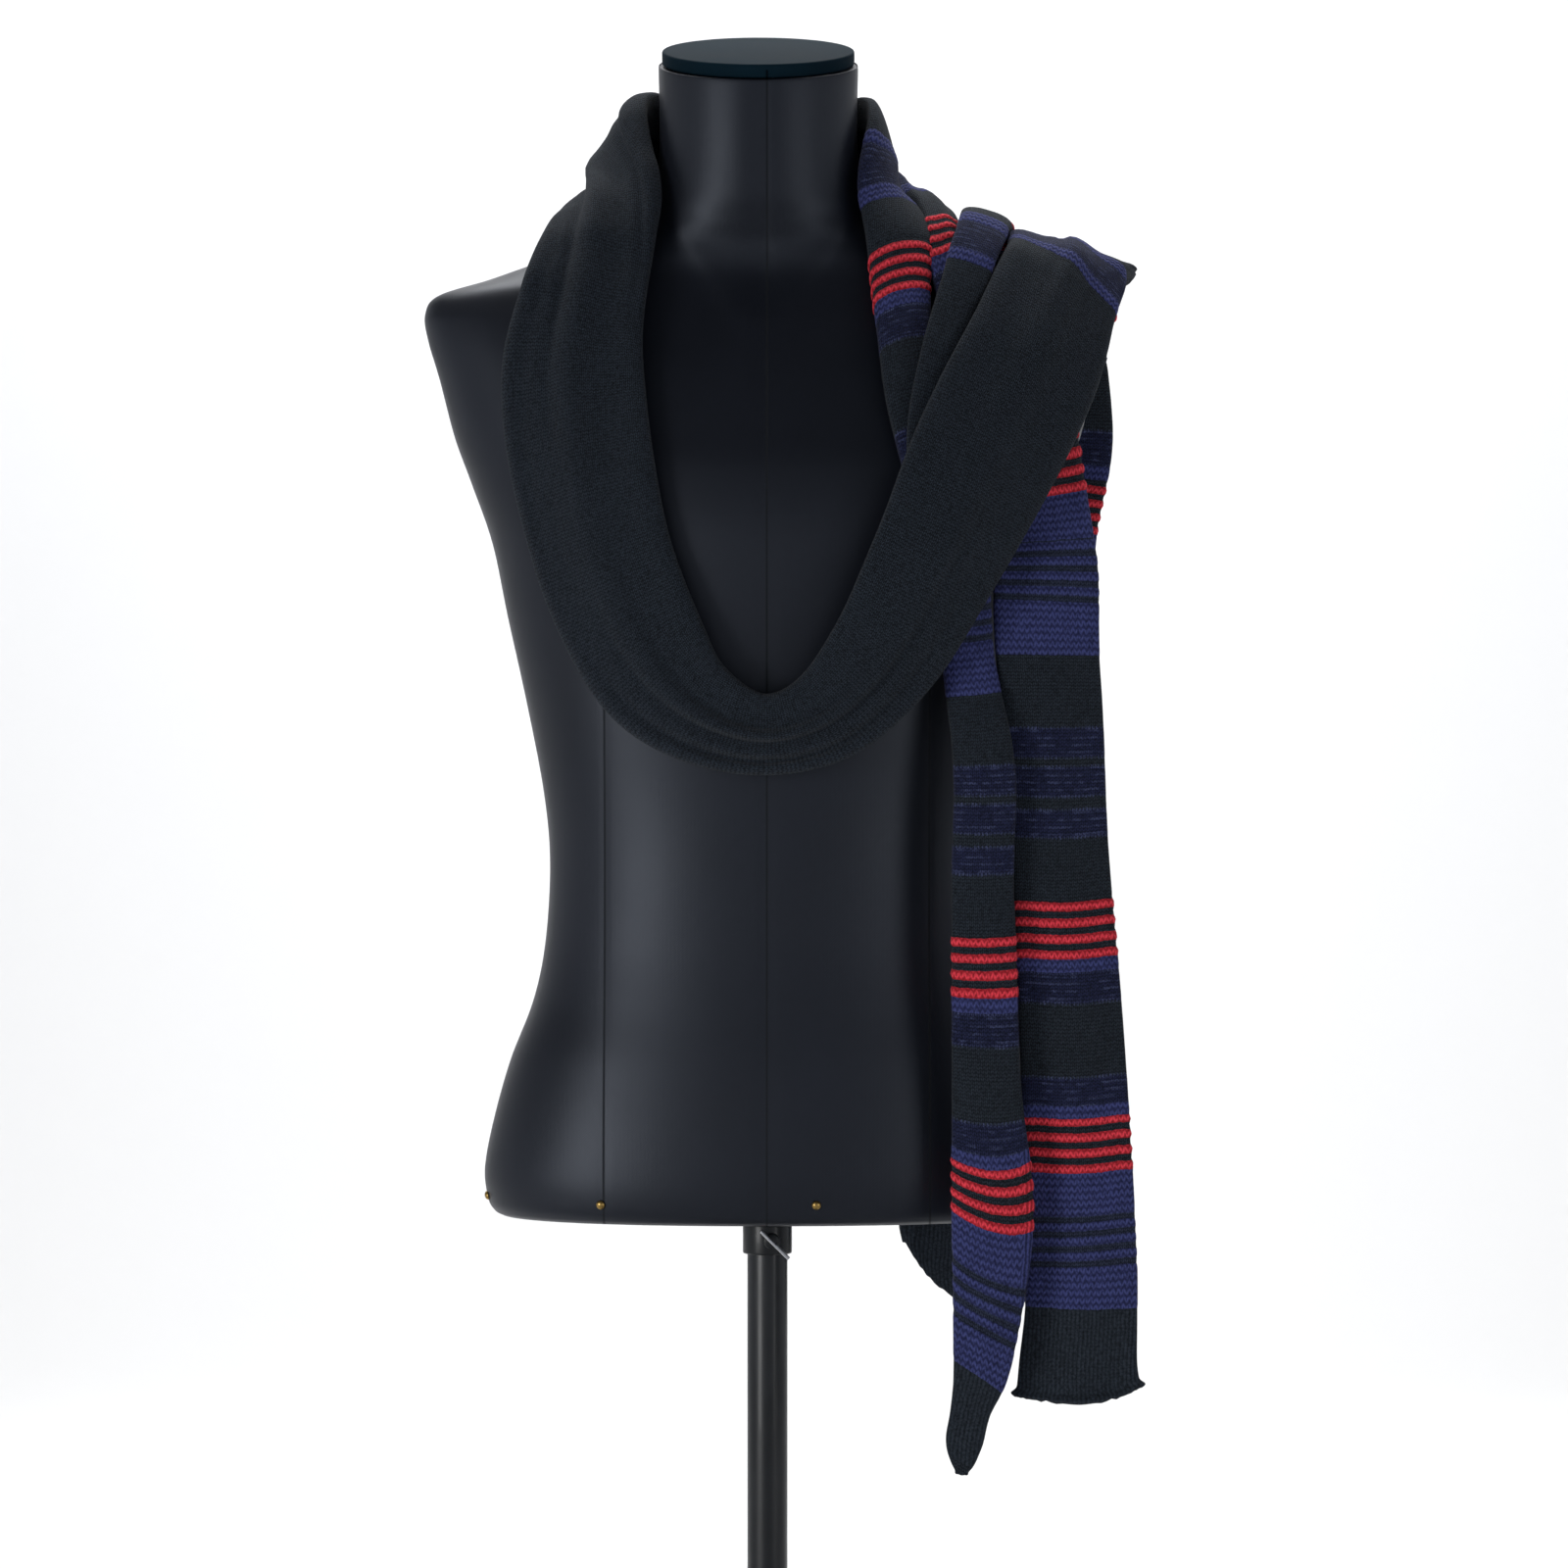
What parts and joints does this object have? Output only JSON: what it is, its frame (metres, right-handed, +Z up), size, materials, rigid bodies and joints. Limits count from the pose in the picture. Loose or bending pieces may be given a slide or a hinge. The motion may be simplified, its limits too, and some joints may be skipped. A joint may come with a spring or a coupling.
{
  "type": "knitted scarf on a dress form",
  "caption": "Long knitted scarf with striped ends, worn in one loop round the neck of a limbless dress form on a round-footed pole stand, both ends hanging on one side.",
  "frame": {"origin": "centre of the underside of the stand's foot, on the floor", "axes": "+Z up the pole, the form faces -Y, and the scarf's ends hang on the +X side"},
  "size_m": [0.4725, 0.3, 1.2432],
  "materials": {
    "form_cover": "smooth charcoal jersey cover stretched over a hard form",
    "black_metal": "satin black powder coat",
    "steel": "bare drawn bar",
    "brass": "domed tack heads",
    "black_knit": "soft plain knit, near black",
    "striped_knit": "navy and black knit with groups of raised red stripes"
  },
  "bodies": {
    "root": {"torso": "form_cover", "neck_cap": "form_cover", "foot_plate": "black_metal", "foot_hub": "black_metal", "pole": "black_metal", "pole_collar": "black_metal", "clamp_screw": "black_metal", "clamp_bar": "steel", "tack_1": "brass", "tack_2": "brass", "tack_3": "brass", "tack_4": "brass", "tack_5": "brass", "tack_6": "brass", "tack_7": "brass", "tack_8": "brass", "scarf_nape": "black_knit", "scarf_left_fall": "black_knit", "scarf_right_rise": "black_knit", "scarf_shoulder_roll": "black_knit", "scarf_front_tail_narrow": "striped_knit", "scarf_front_tail_wide": "striped_knit", "scarf_back_tail": "striped_knit"}
  },
  "joints": []
}
